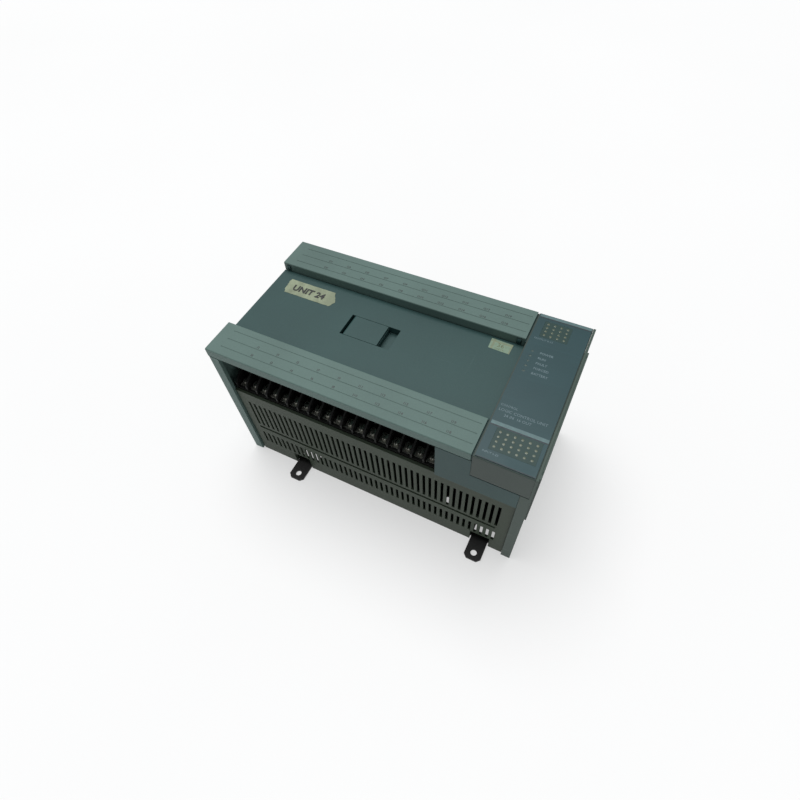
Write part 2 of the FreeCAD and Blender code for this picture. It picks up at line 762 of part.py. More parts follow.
def make_terminal_block():
    block = Piece("near_terminal_block", left_end + Sizes.bay_start, near_side, 0)
    length = Sizes.bay_end - Sizes.bay_start - 0.3
    low_row, high_row = row_levels
    # the underside is relieved at the back, over the heads of the board's screws
    section = [(block_front, Sizes.block_bottom), (block_relief, Sizes.block_bottom),
               (block_relief, Sizes.block_bottom + 3), (block_back, Sizes.block_bottom + 3),
               (block_back, high_row),
               (block_step, high_row), (block_step, low_row), (block_front, low_row)]
    block.prism("X", 0, length, section)
    fin = [(block_front, low_row - 1), (block_back, low_row - 1), (block_back, high_row + 7.5),
           (block_step - 0.5, high_row + 7.5), (14.5, low_row + 11.5), (8.0, low_row + 8),
           (block_front, low_row + 5)]
    barrier = block.prism("X", 0.2, 1.6, fin)
    block.repeat([barrier], "X", Sizes.terminal_pitch, Sizes.terminal_count)
    block.prism("X", length - 1.6, 1.6, fin)
    for inset, level in zip(row_insets, row_levels):
        hole = block.rod("Z", (first_terminal, inset), level - screw_depth, screw_depth, 1.8, cut=True)
        block.repeat([hole], "X", Sizes.terminal_pitch, Sizes.terminal_count)
    mirrored("far_terminal_block", block.body)


first_terminal = 0.2 + (Sizes.terminal_pitch + 1.6) / 2


def make_terminal_metal():
    """Clamp plates, screws and solder pins of one block, each a row of separate solids."""
    start = left_end + Sizes.bay_start
    plates = Piece("near_clamp_plates", start, near_side, 0)
    screws = Piece("near_terminal_screws", start, near_side, 0)
    pins = Piece("near_terminal_pins", start, near_side, 0)
    surface = Sizes.main_board_level + Sizes.board_thickness
    shank = 0.5 - screw_depth
    head = [(0, shank), (1.7, shank), (1.7, 1), (3.0, 1), (3.0, 2.6), (2.5, 3.3), (0, 3.5)]
    for inset, level in zip(row_insets, row_levels):
        plate = plates.block((first_terminal - 3.9, first_terminal + 3.9), (inset - 4.5, inset + 4.5),
                             (level, level + 1))
        plates.repeat([plate], "X", Sizes.terminal_pitch, Sizes.terminal_count)
        hole = plates.rod("Z", (first_terminal, inset), level, 1, 1.9, cut=True)
        plates.repeat([hole], "X", Sizes.terminal_pitch, Sizes.terminal_count)
        screw = screws.turn(first_terminal, inset, level, head)
        screws.repeat([screw], "X", Sizes.terminal_pitch, Sizes.terminal_count)
        slot = screws.block((first_terminal - 0.4, first_terminal + 0.4), (inset - 3.2, inset + 3.2),
                            (level + 2.4, level + 3.6), cut=True)
        screws.repeat([slot], "X", Sizes.terminal_pitch, Sizes.terminal_count)
        pin = pins.block((first_terminal - 0.4, first_terminal + 0.4), (inset - 0.4, inset + 0.4),
                         (surface, Sizes.block_bottom))
        pins.repeat([pin], "X", Sizes.terminal_pitch, Sizes.terminal_count)
    for piece, name in ((plates, "far_clamp_plates"), (screws, "far_terminal_screws"),
                        (pins, "far_terminal_pins")):
        mirrored(name, piece.body)


# ---------------------------------------------------------------- boards and their parts

main_top = Sizes.main_board_level + Sizes.board_thickness
power_top = Sizes.power_board_level + Sizes.board_thickness
port_top = Sizes.port_board_level + Sizes.board_thickness
post_places = [(x, y) for x in (20.0, 135.0, 251.0) for y in (-40.0, 40.0)]
spacer_places = [(x, y) for x in (26.0, 118.0, 218.0) for y in (-29.0, 29.0)]
port_post_places = [(x, y) for x in (63.2, 145.3) for y in (-14.0, 21.0)]


def make_main_board():
    board = box("main_board_blank", (left_end + 15.0, -62.0, Sizes.main_board_level),
                (240.0, 124.0, Sizes.board_thickness))
    holes = [cylinder(f"main_hole_{n}", (left_end + x, y, Sizes.main_board_level - 1), 1.6, 4)
             for n, (x, y) in enumerate(post_places)]
    drilled("main_board", board, holes)
    posts = []
    screws = Piece("main_board_screws", left_end, 0, 0)
    head = [(0, -8), (1.45, -8), (1.45, 0), (2.8, 0), (2.8, 1.2), (2.2, 1.9), (0, 2.1)]
    for number, (x, y) in enumerate(post_places):
        post = cylinder(f"post_{number}", (left_end + x, y, Sizes.plate_gauge), 3.5,
                        Sizes.main_board_level - Sizes.plate_gauge)
        bore = cylinder(f"post_bore_{number}", (left_end + x, y, Sizes.main_board_level - 8), 1.5, 9)
        tube = doc.addObject("Part::Cut", f"tube_{number}")
        tube.Base = post
        tube.Tool = bore
        posts.append(tube)
        screws.turn(x, y, main_top, head)
    group("main_board_posts", posts)


# outer sizes of the moulded components: length, width, height
RELAY = (13.0, 22.0, 15.5)
ISOLATOR = (9.0, 7.0, 3.8)
PROCESSOR = (27.0, 27.0, 3.2)
MEMORY_CHIP = (9.0, 22.0, 3.4)
TRANSISTOR = (4.8, 10.5, 16.0)
FUSE_CLIP = (5.0, 8.0, 9.0)


def component_row(name, count, first, pitch, y, level, size):
    """Equal components in a row along the case."""
    return [box(f"{name}_{n}", (left_end + (first + pitch * n), y, level), size) for n in range(count)]


def make_main_board_parts():
    group("output_relays", component_row("relay", 8, 26.0, 20.5, 14.0, main_top, RELAY))
    group("input_isolators", component_row("isolator", 12, 24.0, 14.0, -34.0, main_top, ISOLATOR))
    group("memory_chips", component_row("memory_chip", 2, 150.0, 11.5, -16.0, main_top, MEMORY_CHIP))
    processor = Piece("processor_chip", left_end + 176.0, -18.0, main_top)
    processor.block((0, PROCESSOR[0]), (0, PROCESSOR[1]), (0, PROCESSOR[2]))
    processor.round_edges(1.0, lambda edge: along_edge(edge, "z", 3), kind="Chamfer")
    shell = box("expansion_shell", (left_end + 246.0, -25.0, 89.0), (15.8, 50.0, 16.0))
    hollow = box("expansion_hollow", (left_end + 249.0, -23.2, 90.8), (14.0, 46.4, 12.4))
    drilled("expansion_connector", shell, [hollow])
    pins = Piece("expansion_pins", left_end + 249.0, -20.32, 94.5)
    pin = pins.block((0, 7.0), (-0.32, 0.32), (0, 0.64))
    pins.repeat([pin], "Y", as_size(2.54), 17, second=("Z", as_size(4.0), 2))


def make_port_board():
    box("port_board", (left_end + 58.0, -18.0, Sizes.port_board_level),
        (94.0, 43.0, Sizes.board_thickness), "port_board")
    posts = [cylinder(f"port_post_{n}", (left_end + x, y, main_top), 3.0, Sizes.port_board_level - main_top)
             for n, (x, y) in enumerate(port_post_places)]
    group("port_board_posts", posts)
    jack = box("jack_block", (left_end + 85.0, -4.5, port_top), (15.0, 16.0, 14.0))
    mouth = box("jack_mouth", (left_end + 87.0, -2.5, port_top + 3), (11.0, 12.0, 12.0))
    key = box("jack_key", (left_end + 90.0, 8.0, port_top + 3), (5.0, 2.2, 12.0))
    drilled("port_jack", jack, [doc_fuse("jack_hollow", mouth, key)])
    socket = box("socket_block", (left_end + 102.6, -4.5, port_top), (8.0, 16.0, 6.0))
    slot = box("socket_slot", (left_end + 104.6, -2.6, port_top + 1.5), (4.0, 12.2, 6.0))
    drilled("memory_socket", socket, [slot])
    module = Piece("memory_module", left_end + 104.7, -2.5, port_top)
    module.block((0, 3.8), (0, 12.0), (1.6, 9.0))
    module.block((-1.6, 5.4), (-1.4, 13.4), (6.3, 18.0))
    module.round_edges(0.8, lambda edge: along_edge(edge, "z", 8), kind="Fillet")
    holder = box("holder_block", (left_end + 128.0, -13.0, port_top), (17.0, 31.0, 9.0))
    cradle = cylinder("holder_cradle", (left_end + 136.5, -11.0, port_top + 9), 7.3, 27.0, TO_Y)
    drilled("battery_holder", holder, [cradle])
    battery = Piece("backup_battery", left_end + 136.5, -10.8, port_top + 9)
    battery.rod("Y", (0, 0), 0, 25.0, 7.2)
    battery.rod("Y", (0, 0), 25.0, 1.4, 2.4)


def doc_fuse(name, first, second):
    fuse = doc.addObject("Part::Fuse", name)
    fuse.Base = first
    fuse.Tool = second
    return fuse


def make_power_board():
    board = box("power_board_blank", (left_end + 20.0, -34.0, Sizes.power_board_level),
                (203.0, 68.0, Sizes.board_thickness))
    holes = [cylinder(f"power_hole_{n}", (left_end + x, y, Sizes.power_board_level - 1), 1.6, 4)
             for n, (x, y) in enumerate(spacer_places)]
    drilled("power_board", board, holes)
    spacers = Piece("power_board_spacers", left_end, 0, 0)
    shape = [(0, 0), (3.0, 0), (3.0, 12.0), (1.5, 12.0), (1.5, 16.0), (0, 16.0)]
    for x, y in spacer_places:
        spacers.turn(x, y, Sizes.plate_gauge, shape)


def make_power_parts():
    base = power_top
    core = Piece("transformer_core", left_end + 60.0, -20.0, base)
    core.block((0, 48.0), (0, 40.0), (0, 42.0))
    core.block((8.0, 16.0), (0, 40.0), (8.0, 34.0), cut=True)
    core.block((32.0, 40.0), (0, 40.0), (8.0, 34.0), cut=True)
    winding = Piece("transformer_winding", left_end + 60.0, -20.0, base)
    winding.block((8.2, 39.8), (-7.0, 47.0), (8.3, 33.7))
    winding.block((16.0, 32.0), (0, 40.0), (8.3, 33.7), cut=True)
    capacitors = Piece("bulk_capacitors", left_end, 0, 0)
    can = [(0, 0), (11.0, 0), (11.0, 3.0), (10.4, 3.8), (11.0, 4.6), (11.0, 39.2), (10.2, 40.0), (0, 40.0)]
    for x, y in ((132.0, -14.0), (132.0, 14.0), (158.0, 0.0)):
        capacitors.turn(x, y, base, can)
    choke = doc.addObject("Part::Torus", "filter_choke")
    choke.Radius1 = 9.0
    choke.Radius2 = 4.6
    place(choke, left_end + 40.0, 14.0, base + 4.6)
    keep("filter_choke", choke)
    sink = Piece("heat_sink", left_end + 178.0, -26.0, base)
    sink.block((0, 3.0), (0, 52.0), (0, 46.0))
    fin = sink.block((3.0, 16.0), (0, 1.6), (4.0, 46.0))
    sink.repeat([fin], "Y", as_size(7.2), 8)
    transistors = [box(f"transistor_{n}", (left_end + 173.2, -20.0 + 15.0 * n, base + 8.0), TRANSISTOR)
                   for n in range(3)]
    group("power_transistors", transistors)


def make_line_fuse():
    base = power_top
    barrel = Piece("line_fuse", left_end + 28.0, -18.0, base + 7.0)
    barrel.rod("X", (0, 0), 0, 20.0, 2.5)
    clips = []
    for number, x in enumerate((28.8, 42.2)):
        block = box(f"clip_block_{number}", (left_end + x, -22.0, base), FUSE_CLIP)
        bore = cylinder(f"clip_bore_{number}", (left_end + x - 1, -18.0, base + 7.0), 2.5, 8.0, TO_X)
        mouth = box(f"clip_mouth_{number}", (left_end + x - 1, -20.0, base + 7.0), (8.0, 4.0, 5.0))
        clip = doc.addObject("Part::Cut", f"clip_{number}")
        clip.Base = block
        clip.Tool = doc_fuse(f"clip_hollow_{number}", bore, mouth)
        clips.append(clip)
    group("fuse_clips", clips)


def make_riser():
    socket_height = 4.0
    low = power_top
    sockets = []
    for number, z in enumerate((low, Sizes.main_board_level - socket_height)):
        block = box(f"riser_socket_block_{number}", (left_end + 204.0, -16.0, z), (7.0, 32.0, socket_height))
        slot = box(f"riser_slot_{number}", (left_end + 206.7, -14.2, z - 1), (1.6, 28.4, socket_height + 2))
        socket = doc.addObject("Part::Cut", f"riser_socket_{number}")
        socket.Base = block
        socket.Tool = slot
        sockets.append(socket)
    group("riser_sockets", sockets)
    box("riser_board", (left_end + 206.75, -14.0, low), (1.5, 28.0, Sizes.main_board_level - low),
        "riser_board")


# ---------------------------------------------------------------- labels stuck to the panel

tag_thickness = 0.15


def make_stickers():
    tag = Piece("tape_tag", left_end, near_side, panel_level)
    torn = [(11.0, 98.5), (12.6, 94.0), (11.6, 90.5), (13.0, 86.0), (37.0, 85.0), (61.8, 84.5), (60.4, 88.5),
            (62.0, 91.0), (58.9, 95.5), (58.6, 100.5), (35.0, 99.7)]
    tag.prism("Z", 0, tag_thickness, torn)
    sticker = Piece("inspection_sticker", left_end, near_side, panel_level)
    sticker.prism("Z", 0, tag_thickness, [(194.0, 106.7), (194.4, 96.5), (211.2, 96.0), (211.5, 106.0)])


def make_side_cover():
    """The sliding cover over the expansion socket."""
    cover = Piece("expansion_cover", left_end, near_side, 0)
    inner = Sizes.case_length - Sizes.side_step + 0.05
    bottom = 84.0
    top = Sizes.case_depth - 0.8
    cover.block((inner, Sizes.case_length), (8.0, 110.0), (bottom, top))
    cover.block((inner, inner + 0.5), (6.0, 112.0), (bottom, top))
    grip = cover.block((Sizes.case_length - 0.4, Sizes.case_length), (48.0, 70.0), (130.0, 131.0), cut=True)
    cover.repeat([grip], "Z", as_size(2.2), 5)


make_base_plate()
make_studs_and_nuts()
make_vent_wall()
make_left_end_wall()
make_right_end_wall()
make_front_housing()
make_terminal_covers()
make_port_door()
make_indicator_bezel()
make_indicator_board()
make_terminal_block()
make_terminal_metal()
make_main_board()
make_main_board_parts()
make_port_board()
make_power_board()
make_power_parts()
make_line_fuse()
make_riser()
make_stickers()
make_side_cover()
doc.recompute()

# ---------------------------------------------------------------- checks and export

for obj in doc.Objects:
    if {"Invalid", "Error"} & set(obj.State):
        raise RuntimeError(f"{obj.Label} failed to build: {obj.State}")
    if obj.TypeId == "PartDesign::Pocket" and obj.BaseFeature.Shape.Volume - obj.Shape.Volume < 1e-3:
        raise RuntimeError(f"{obj.Label} of {obj.getParent().Label} cuts nothing")
for label, obj in pieces.items():
    if obj.Shape.isNull() or not obj.Shape.isValid() or not obj.Shape.Solids:
        raise RuntimeError(f"{label} has no valid solid")

os.makedirs("parts", exist_ok=True)
for label, obj in pieces.items():
    obj.Shape.exportStep(f"parts/{label}.step")
print(f"{len(pieces)} parts written")
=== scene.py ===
import json
import math

import bmesh
import bpy
from mathutils import Matrix, Vector, noise


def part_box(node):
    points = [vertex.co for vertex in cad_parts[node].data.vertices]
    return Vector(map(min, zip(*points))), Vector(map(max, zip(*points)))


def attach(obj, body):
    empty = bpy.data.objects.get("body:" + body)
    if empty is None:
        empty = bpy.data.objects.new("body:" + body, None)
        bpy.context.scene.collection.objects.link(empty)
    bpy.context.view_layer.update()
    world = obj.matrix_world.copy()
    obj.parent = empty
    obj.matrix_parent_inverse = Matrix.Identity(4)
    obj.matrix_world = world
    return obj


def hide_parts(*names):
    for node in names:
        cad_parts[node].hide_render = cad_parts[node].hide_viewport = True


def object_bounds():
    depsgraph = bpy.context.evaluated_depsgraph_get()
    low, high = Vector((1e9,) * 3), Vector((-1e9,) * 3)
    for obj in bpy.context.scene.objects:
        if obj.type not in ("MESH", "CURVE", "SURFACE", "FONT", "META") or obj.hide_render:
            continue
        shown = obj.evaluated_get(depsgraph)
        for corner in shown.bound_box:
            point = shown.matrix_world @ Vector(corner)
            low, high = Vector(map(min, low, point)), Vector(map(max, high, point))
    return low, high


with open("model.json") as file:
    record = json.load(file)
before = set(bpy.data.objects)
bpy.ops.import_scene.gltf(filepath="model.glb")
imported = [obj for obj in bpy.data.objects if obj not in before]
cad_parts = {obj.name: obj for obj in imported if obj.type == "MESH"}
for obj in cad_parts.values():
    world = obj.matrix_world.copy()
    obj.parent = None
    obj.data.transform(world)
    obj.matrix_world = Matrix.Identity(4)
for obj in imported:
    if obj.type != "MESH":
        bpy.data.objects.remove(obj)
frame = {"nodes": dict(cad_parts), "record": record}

# A programmable controller lying on its mounting plate.  Units are metres in the frame of the
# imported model: X along the case, Y from the input side to the output side, Z out of the front.

MM = 0.001
cad_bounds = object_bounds()
nodes = frame["nodes"]
floor_level = cad_bounds[0][2]


# ---------------------------------------------------------------- colours, as display values

def display(red, green, blue):
    """A display colour from 0 to 255, as the linear colour that a shader takes."""
    def linear(value):
        value /= 255.0
        return value / 12.92 if value <= 0.04045 else ((value + 0.055) / 1.055) ** 2.4
    return (linear(red), linear(green), linear(blue), 1.0)


def scaled(colour, factor):
    return tuple(min(1.0, channel * factor) for channel in colour[:3]) + (1.0,)


# ---------------------------------------------------------------- shader building

class Shader:
    """One node material.  Each method adds a node and returns the socket that it makes."""

    def __init__(self, name):
        self.material = bpy.data.materials.new(name)
        self.material.use_nodes = True
        self.tree = self.material.node_tree
        self.tree.nodes.clear()
        self.place = self.node("TexCoord").outputs["Object"]

    def node(self, kind, settings=None, **inputs):
        made = self.tree.nodes.new("ShaderNode" + kind)
        for key, value in (settings or {}).items():
            setattr(made, key, value)
        for key, value in inputs.items():
            self.feed(made.inputs[key.replace("_", " ")], value)
        return made

    def feed(self, socket, value):
        if isinstance(value, bpy.types.NodeSocket):
            self.tree.links.new(value, socket)
        elif value is not None:
            socket.default_value = value

    def maths(self, operation, first, second=0.0, clamp=False):
        made = self.node("Math", {"operation": operation, "use_clamp": clamp})
        self.feed(made.inputs[0], first)
        self.feed(made.inputs[1], second)
        return made.outputs[0]

    def ramp(self, value, low, high, start=0.0, end=1.0):
        made = self.node("MapRange", {"clamp": True}, Value=value, From_Min=low, From_Max=high,
                         To_Min=start, To_Max=end)
        return made.outputs[0]

    def blend(self, factor, first, second, mode="MIX"):
        made = self.node("Mix", {"data_type": "RGBA", "blend_type": mode})
        self.feed(made.inputs[0], factor)
        self.feed(made.inputs[6], first)
        self.feed(made.inputs[7], second)
        return made.outputs[2]

    def stretch(self, factors, offset=(0, 0, 0)):
        made = self.node("Mapping", Vector=self.place, Scale=factors, Location=offset)
        return made.outputs[0]

    def noise(self, scale, detail=2.0, vector=None, roughness=0.5):
        made = self.node("TexNoise", Vector=vector or self.place, Scale=scale, Detail=detail,
                         Roughness=roughness)
        return made.outputs["Fac"]

    def cells(self, scale, vector=None, feature="F1"):
        made = self.node("TexVoronoi", {"feature": feature}, Vector=vector or self.place, Scale=scale)
        return made.outputs["Distance"]

    def lines(self, scale, direction="X", distortion=0.0):
        made = self.node("TexWave", {"bands_direction": direction}, Vector=self.place, Scale=scale,
                         Distortion=distortion)
        return made.outputs["Fac"]

    def rounded(self, radius):
        return self.node("Bevel", {"samples": 4}, Radius=radius).outputs[0]

    def edges(self, rounded):
        """1 on the object's sharp outer and inner edges, 0 on flat faces."""
        flat = self.node("NewGeometry").outputs["Normal"]
        made = self.node("VectorMath", {"operation": "DOT_PRODUCT"})
        self.feed(made.inputs[0], rounded)
        self.feed(made.inputs[1], flat)
        return self.maths("SUBTRACT", 1.0, made.outputs["Value"], clamp=True)

    def corners(self, distance):
        """1 where a face is open, falling to 0 deep in a gap."""
        return self.node("AmbientOcclusion", {"samples": 4}, Distance=distance).outputs["AO"]

    def bump(self, height, depth, strength=1.0, normal=None):
        made = self.node("Bump", Height=height, Distance=depth, Strength=strength)
        self.feed(made.inputs["Normal"], normal)
        return made.outputs[0]

    def surface(self, **inputs):
        made = self.node("BsdfPrincipled", **inputs)
        return self.finish(made.outputs[0])

    def finish(self, shader):
        end = self.tree.nodes.new("ShaderNodeOutputMaterial")
        self.tree.links.new(shader, end.inputs["Surface"])
        return self.material


# ---------------------------------------------------------------- materials of the case

def moulded(name, colour, grain=0.4, rough=0.5, mottle=0.10, wear=0.35, gap_shade_and_dirt=0.5, scuffs=0.25, gloss=0.5,
            soft_edge=0.35):
    """Moulded plastic: spark-textured skin, slow colour drift, pale worn edges, scuffs, and dirt with painted
    shade darkening the gaps.
    """
    shader = Shader(name)
    drift = shader.noise(14.0, detail=3.0)
    speck = shader.noise(900.0, detail=2.0)
    skin = shader.noise(1000.0 / grain, detail=3.0, roughness=0.65)
    base = shader.blend(shader.ramp(drift, 0.3, 0.7), scaled(colour, 1.0 - mottle),
                        scaled(colour, 1.0 + mottle))
    base = shader.blend(shader.ramp(speck, 0.35, 0.75, 0.0, 0.18), base, scaled(colour, 1.45))
    # fine scuffs lie along and across the case
    along = shader.noise(60.0, 2.0, shader.stretch((0.35, 14.0, 14.0)))
    across = shader.noise(45.0, 2.0, shader.stretch((16.0, 0.5, 9.0), (3.1, 0.7, 0.2)))
    scuff = shader.maths("MAXIMUM", shader.ramp(along, 0.66, 0.74), shader.ramp(across, 0.68, 0.76))
    patch = shader.ramp(shader.noise(9.0, 2.0), 0.48, 0.68)
    scuff = shader.maths("MULTIPLY", scuff, patch)
    base = shader.blend(shader.maths("MULTIPLY", scuff, scuffs), base, scaled(colour, 1.9))
    rounded = shader.rounded(soft_edge * MM)
    worn = shader.ramp(shader.edges(rounded), 0.02, 0.30)
    worn = shader.maths("MULTIPLY", worn, shader.ramp(shader.noise(120.0, 3.0), 0.35, 0.62, 0.35, 1.0))
    base = shader.blend(shader.maths("MULTIPLY", worn, wear), base, scaled(colour, 1.8))
    # painted shade: the colour is darkened where the occlusion mask finds gaps and hollows, and noise breaks
    # it up like dirt
    gap = shader.ramp(shader.corners(2.5 * MM), 0.25, 0.85, 1.0, 0.0)
    shade_and_dirt = shader.maths("MULTIPLY", gap, shader.ramp(shader.noise(60.0, 3.0), 0.25, 0.7, 0.4, 1.0))
    base = shader.blend(shader.maths("MULTIPLY", shade_and_dirt, gap_shade_and_dirt), base, scaled(colour, 0.35))
    roughness = shader.ramp(skin, 0.3, 0.7, rough - 0.07, rough + 0.09)
    roughness = shader.maths("SUBTRACT", roughness, shader.maths("MULTIPLY", scuff, 0.12))
    normal = shader.bump(skin, 0.05 * MM, 0.35, rounded)
    return shader.surface(Base_Color=base, Roughness=roughness, Normal=normal, Specular_IOR_Level=gloss)


def label_film(name, colour):
    """Satin polyester film: nearly flat, faintly streaked, rubbed where fingers reach it."""
    shader = Shader(name)
    drift = shader.noise(25.0, 2.0)
    streak = shader.noise(40.0, 2.0, shader.stretch((0.6, 9.0, 1.0)))
    base = shader.blend(shader.ramp(drift, 0.3, 0.7), scaled(colour, 0.93), scaled(colour, 1.09))
    base = shader.blend(shader.ramp(streak, 0.55, 0.8, 0.0, 0.16), base, scaled(colour, 1.6))
    rubbed = shader.ramp(shader.noise(30.0, 4.0), 0.5, 0.75)
    roughness = shader.ramp(rubbed, 0.0, 1.0, 0.40, 0.52)
    rounded = shader.rounded(0.2 * MM)
    worn = shader.ramp(shader.edges(rounded), 0.03, 0.3, 0.0, 0.4)
    base = shader.blend(worn, base, scaled(colour, 2.0))
    normal = shader.bump(shader.noise(700.0, 2.0), 0.02 * MM, 0.2, rounded)
    return shader.surface(Base_Color=base, Roughness=roughness, Normal=normal, Specular_IOR_Level=0.3)


def window_film(name, tint):
    """Tinted film over the indicators: straight see-through, with a satin face."""
    shader = Shader(name)
    haze = shader.ramp(shader.noise(60.0, 2.0), 0.3, 0.7, 0.78, 0.88)
    clear = shader.node("BsdfTransparent", Color=scaled(tint, 2.4))
    skin = shader.node("BsdfPrincipled", Base_Color=tint, Roughness=0.42, Specular_IOR_Level=0.3,
                       Normal=shader.bump(shader.noise(700.0, 2.0), 0.02 * MM, 0.2))
    made = shader.node("MixShader", Fac=haze)
    shader.feed(made.inputs[1], clear.outputs[0])
    shader.feed(made.inputs[2], skin.outputs[0])
    return shader.finish(made.outputs[0])


def lens(name, colour):
    """Diffused lens of an unlit indicator."""
    shader = Shader(name)
    base = shader.blend(shader.noise(500.0, 2.0), scaled(colour, 0.85), scaled(colour, 1.15))
    normal = shader.bump(shader.noise(1500.0, 1.0), 0.02 * MM, 0.2)
    return shader.surface(Base_Color=base, Roughness=0.28, Subsurface_Weight=0.25,
                          Subsurface_Radius=(1, 0.7, 0.4), Subsurface_Scale=0.8 * MM, Normal=normal)


def ink(name, colour, wear=0.35):
    """Printed ink, thinned where it has rubbed off towards the plastic below."""
    shader = Shader(name)
    rubbed = shader.ramp(shader.noise(380.0, 3.0), 0.45, 0.7, 0.0, wear)
    base = shader.blend(rubbed, colour, scaled(colour, 1.7))
    roughness = shader.ramp(shader.noise(600.0), 0.3, 0.7, 0.42, 0.55)
    return shader.surface(Base_Color=base, Roughness=roughness,
                          Normal=shader.bump(shader.noise(1600.0), 0.01 * MM, 0.3))


# ---------------------------------------------------------------- metals

def powder_coat(name, colour):
    shader = Shader(name)
    peel = shader.noise(650.0, 2.0)
    base = shader.blend(shader.noise(40.0, 3.0), scaled(colour, 0.8), scaled(colour, 1.3))
    rounded = shader.rounded(0.25 * MM)
    chip = shader.maths("MULTIPLY", shader.ramp(shader.edges(rounded), 0.05, 0.25),
                        shader.ramp(shader.noise(260.0, 3.0), 0.52, 0.62))
    base = shader.blend(shader.maths("MULTIPLY", chip, 0.5), base, display(96, 94, 90))
    roughness = shader.ramp(peel, 0.3, 0.7, 0.42, 0.55)
    return shader.surface(Base_Color=base, Roughness=roughness, Specular_IOR_Level=0.35,
                          Metallic=shader.maths("MULTIPLY", chip, 0.7),
                          Normal=shader.bump(peel, 0.04 * MM, 0.4, rounded))


def plated(name, colour, rough=0.32, direction=(3.0, 60.0, 3.0)):
    """Plated metal with fine drawing lines and dull patches."""
    shader = Shader(name)
    drawn = shader.noise(90.0, 2.0, shader.stretch(direction))
    dull = shader.ramp(shader.noise(170.0, 3.0), 0.4, 0.68)
    base = shader.blend(dull, colour, scaled(colour, 0.62))
    base = shader.blend(shader.ramp(drawn, 0.3, 0.7, 0.0, 0.25), base, scaled(colour, 1.3))
    roughness = shader.maths("ADD", shader.ramp(dull, 0.0, 1.0, rough, rough + 0.22),
                             shader.ramp(drawn, 0.3, 0.7, 0.0, 0.08))
    rounded = shader.rounded(0.15 * MM)
    return shader.surface(Base_Color=base, Metallic=1.0, Roughness=roughness,
                          Normal=shader.bump(drawn, 0.01 * MM, 0.3, rounded))


# ---------------------------------------------------------------- materials inside

def laminate(name, colour):
    """Circuit board: solder mask over copper tracks that run along and across, with plated holes."""
    shader = Shader(name)
    brick = {"offset": 0.37, "squash": 1.0}
    track = shader.node("TexBrick", brick, Vector=shader.place, Scale=110.0, Mortar_Size=0.055,
                        Mortar_Smooth=0.1, Brick_Width=1.9, Row_Height=0.22)
    turned = shader.node("Mapping", Vector=shader.place, Rotation=(0, 0, math.pi / 2)).outputs[0]
    cross = shader.node("TexBrick", brick, Vector=turned, Scale=70.0, Mortar_Size=0.04,
                        Mortar_Smooth=0.1, Brick_Width=2.6, Row_Height=0.31)
    copper = shader.maths("MAXIMUM", track.outputs["Fac"], cross.outputs["Fac"])
    holes = shader.ramp(shader.cells(260.0), 0.10, 0.14, 1.0, 0.0)
    weave = shader.maths("MULTIPLY", shader.lines(420.0, "X"), shader.lines(420.0, "Y"))
    base = shader.blend(shader.ramp(weave, 0.0, 1.0, 0.0, 0.12), colour, scaled(colour, 1.5))
    base = shader.blend(shader.maths("MULTIPLY", copper, 0.55), base, scaled(colour, 2.1))
    base = shader.blend(holes, base, display(170, 172, 165))
    return shader.surface(Base_Color=base, Roughness=shader.ramp(copper, 0.0, 1.0, 0.34, 0.26),
                          Normal=shader.bump(copper, 0.05 * MM, 0.5))


def banded(name, colour, band, direction, rough=0.45, metal=0.0, contrast=0.5):
    """Stacked laminations or wound wire: even bands with a groove between each two."""
    shader = Shader(name)
    lines = shader.lines(math.pi / (10.0 * band), direction, distortion=0.15)
    drift = shader.noise(120.0, 3.0)
    base = shader.blend(shader.ramp(lines, 0.05, 0.6), scaled(colour, 1.0 - contrast), colour)
    base = shader.blend(shader.ramp(drift, 0.3, 0.75, 0.0, 0.35), base, scaled(colour, 0.6))
    return shader.surface(Base_Color=base, Metallic=metal,
                          Roughness=shader.ramp(drift, 0.3, 0.7, rough, rough + 0.2),
                          Normal=shader.bump(lines, 0.15 * MM, 0.8))


def sleeve(name, colour, stripe, direction="Z"):
    """Shrunk or printed sleeve with a pale stripe and fine wrinkles."""
    shader = Shader(name)
    wide = shader.ramp(shader.lines(9.0, direction), 0.86, 0.9)
    wrinkle = shader.noise(300.0, 3.0, shader.stretch((2.0, 2.0, 0.4)))
    base = shader.blend(shader.noise(90.0), scaled(colour, 0.85), scaled(colour, 1.2))
    base = shader.blend(wide, base, stripe)
    return shader.surface(Base_Color=base, Roughness=0.28, Coat_Weight=0.3,
                          Normal=shader.bump(wrinkle, 0.06 * MM, 0.35, shader.rounded(0.4 * MM)))


def clear_glass(name):
    shader = Shader(name)
    smear = shader.ramp(shader.noise(300.0, 3.0), 0.3, 0.7, 0.02, 0.14)
    return shader.surface(Base_Color=display(225, 232, 230), Roughness=smear, Transmission_Weight=0.9,
                          IOR=1.47)


# ---------------------------------------------------------------- paper and tape

def crepe(name, colour):
    """Masking tape: crosswise crepe ridges, fibres, handling dirt and a darker, dried end."""
    shader = Shader(name)
    ridges = shader.noise(700.0, 3.0, shader.stretch((2.4, 0.7, 1.0)), 0.7)
    fibre = shader.noise(2400.0, 2.0)
    stain = shader.ramp(shader.noise(90.0, 4.0), 0.40, 0.66)
    base = shader.blend(shader.ramp(ridges, 0.3, 0.7), scaled(colour, 0.78), scaled(colour, 1.12))
    place = shader.node("NewGeometry").outputs["Position"]
    along = shader.node("SeparateXYZ", Vector=place).outputs["X"]
    torn_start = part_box("tape_tag")[1].x - 16.0 * MM
    dried = shader.maths("MULTIPLY", shader.maths("SUBTRACT", along, torn_start), 1.0 / (9.0 * MM))
    dried = shader.ramp(dried, 0.0, 1.0, 0.0, 0.55)
    stain = shader.maths("MAXIMUM", shader.maths("MULTIPLY", stain, 0.7), dried)
    base = shader.blend(stain, base, scaled(colour, 0.5))
    base = shader.blend(shader.ramp(fibre, 0.55, 0.8, 0.0, 0.25), base, scaled(colour, 1.4))
    return shader.surface(Base_Color=base, Roughness=0.72, Normal=shader.bump(ridges, 0.12 * MM, 0.7))


